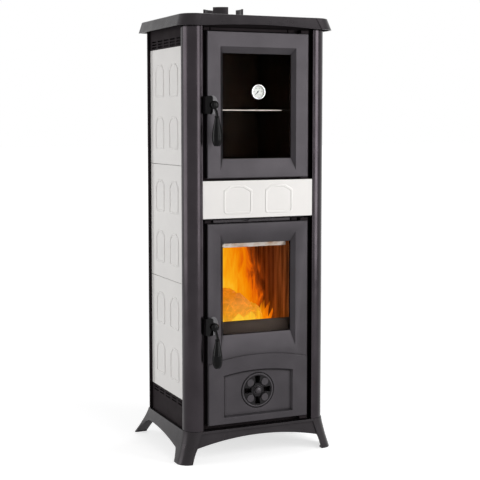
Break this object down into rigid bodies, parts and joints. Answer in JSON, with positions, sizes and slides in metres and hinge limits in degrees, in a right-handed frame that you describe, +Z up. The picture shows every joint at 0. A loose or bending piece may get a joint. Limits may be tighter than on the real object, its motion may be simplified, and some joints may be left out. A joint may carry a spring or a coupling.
{
  "type": "tiled stove",
  "caption": "Tall free-standing wood stove with an oven over the fire, glazed tiles on its sides, two glass doors and a flue collar on top.",
  "frame": {"origin": "on the floor, under the middle of the whole stove, feet and handles included", "axes": "+Z up, the doors face -Y, +X is to the right of someone facing the doors"},
  "size_m": [0.5, 0.4646, 1.343],
  "materials": {
    "cast_iron": "matt grey heat-proof paint on cast iron",
    "rosette_iron": "matt grey casting with rubbed edges",
    "column_steel": "satin metallic grey heat-proof paint",
    "dark_steel": "matt dark paint",
    "oven_enamel": "dark speckled vitreous enamel",
    "tile_glaze": "glossy white glaze, slightly uneven",
    "fireclay": "rough fired clay",
    "rope_seal": "braided glass-fibre rope",
    "door_glass": "clear heat-proof glass ceramic, faintly brown",
    "lens_glass": "clear",
    "chrome": "polished",
    "rose_grey": "satin grey, with rubbed edges",
    "lever_black": "glossy black enamel on a casting",
    "grip_black": "glossy black",
    "bare_steel": "bare, brushed",
    "dial_white": "white printed face",
    "needle_black": "black"
  },
  "bodies": {
    "stove_body": {"base_casting": "cast_iron", "top_plate": "cast_iron", "flue_collar": "cast_iron", "firebox_floor": "cast_iron", "fire_grate": "cast_iron", "log_guard": "cast_iron", "column_left": "column_steel", "column_right": "column_steel", "side_panel_left": "dark_steel", "side_panel_right": "dark_steel", "back_panel": "dark_steel", "base_plate": "dark_steel", "front_frame": "dark_steel", "inner_body": "dark_steel", "ash_drawer": "dark_steel", "oven_box": "oven_enamel", "front_tile": "tile_glaze", "side_tile_left_1": "tile_glaze", "side_tile_left_2": "tile_glaze", "side_tile_left_3": "tile_glaze", "side_tile_right_1": "tile_glaze", "side_tile_right_2": "tile_glaze", "side_tile_right_3": "tile_glaze", "firebrick_left": "fireclay", "firebrick_right": "fireclay", "firebrick_back": "fireclay", "fire_baffle": "fireclay", "oven_rack": "chrome", "air_wash_strip": "bare_steel", "fire_hinge_pin_bottom": "bare_steel", "fire_hinge_pin_top": "bare_steel", "oven_hinge_pin_bottom": "bare_steel", "oven_hinge_pin_top": "bare_steel"},
    "oven_door": {"oven_door_frame": "cast_iron", "oven_door_glass": "door_glass", "oven_glass_retainer": "dark_steel", "oven_door_seal": "rope_seal", "oven_handle_rose": "rose_grey", "thermometer_case": "chrome", "thermometer_dial": "dial_white", "thermometer_lens": "lens_glass"},
    "fire_door": {"fire_door_frame": "cast_iron", "fire_door_glass": "door_glass", "fire_glass_retainer": "dark_steel", "fire_door_seal": "rope_seal", "fire_handle_rose": "rose_grey"},
    "oven_handle": {"oven_handle_lever": "lever_black", "oven_handle_grip": "grip_black"},
    "fire_handle": {"fire_handle_lever": "lever_black", "fire_handle_grip": "grip_black"},
    "air_register": {"air_rosette": "rosette_iron", "rosette_knob": "rosette_iron"},
    "secondary_air": {"air_slider": "bare_steel"},
    "needle": {"thermometer_needle": "needle_black"}
  },
  "joints": [
    {"name": "oven_door_hinge", "type": "hinge", "parent": "stove_body", "child": "oven_door", "pos_m": [0.15, -0.1667, 1.0425], "axis": [0, 0, 1], "range_deg": [0, 110]},
    {"name": "fire_door_hinge", "type": "hinge", "parent": "stove_body", "child": "fire_door", "pos_m": [0.15, -0.1667, 0.4045], "axis": [0, 0, 1], "range_deg": [0, 110]},
    {"name": "oven_handle_turn", "type": "hinge", "parent": "oven_door", "child": "oven_handle", "pos_m": [-0.15, -0.1757, 1.0425], "axis": [0, -1, 0], "range_deg": [0, 60]},
    {"name": "fire_handle_turn", "type": "hinge", "parent": "fire_door", "child": "fire_handle", "pos_m": [-0.15, -0.1757, 0.4045], "axis": [0, -1, 0], "range_deg": [0, 60]},
    {"name": "air_register_turn", "type": "hinge", "parent": "fire_door", "child": "air_register", "pos_m": [0, -0.1757, 0.2], "axis": [0, -1, 0], "range_deg": [0, 45]},
    {"name": "secondary_air_slide", "type": "slide", "parent": "stove_body", "child": "secondary_air", "axis": [1, 0, 0], "range_m": [-0.0085, 0.0045]},
    {"name": "thermometer_needle_turn", "type": "hinge", "parent": "oven_door", "child": "needle", "pos_m": [0, -0.1757, 1.0815], "axis": [0, 1, 0], "range_deg": [0, 270]}
  ]
}
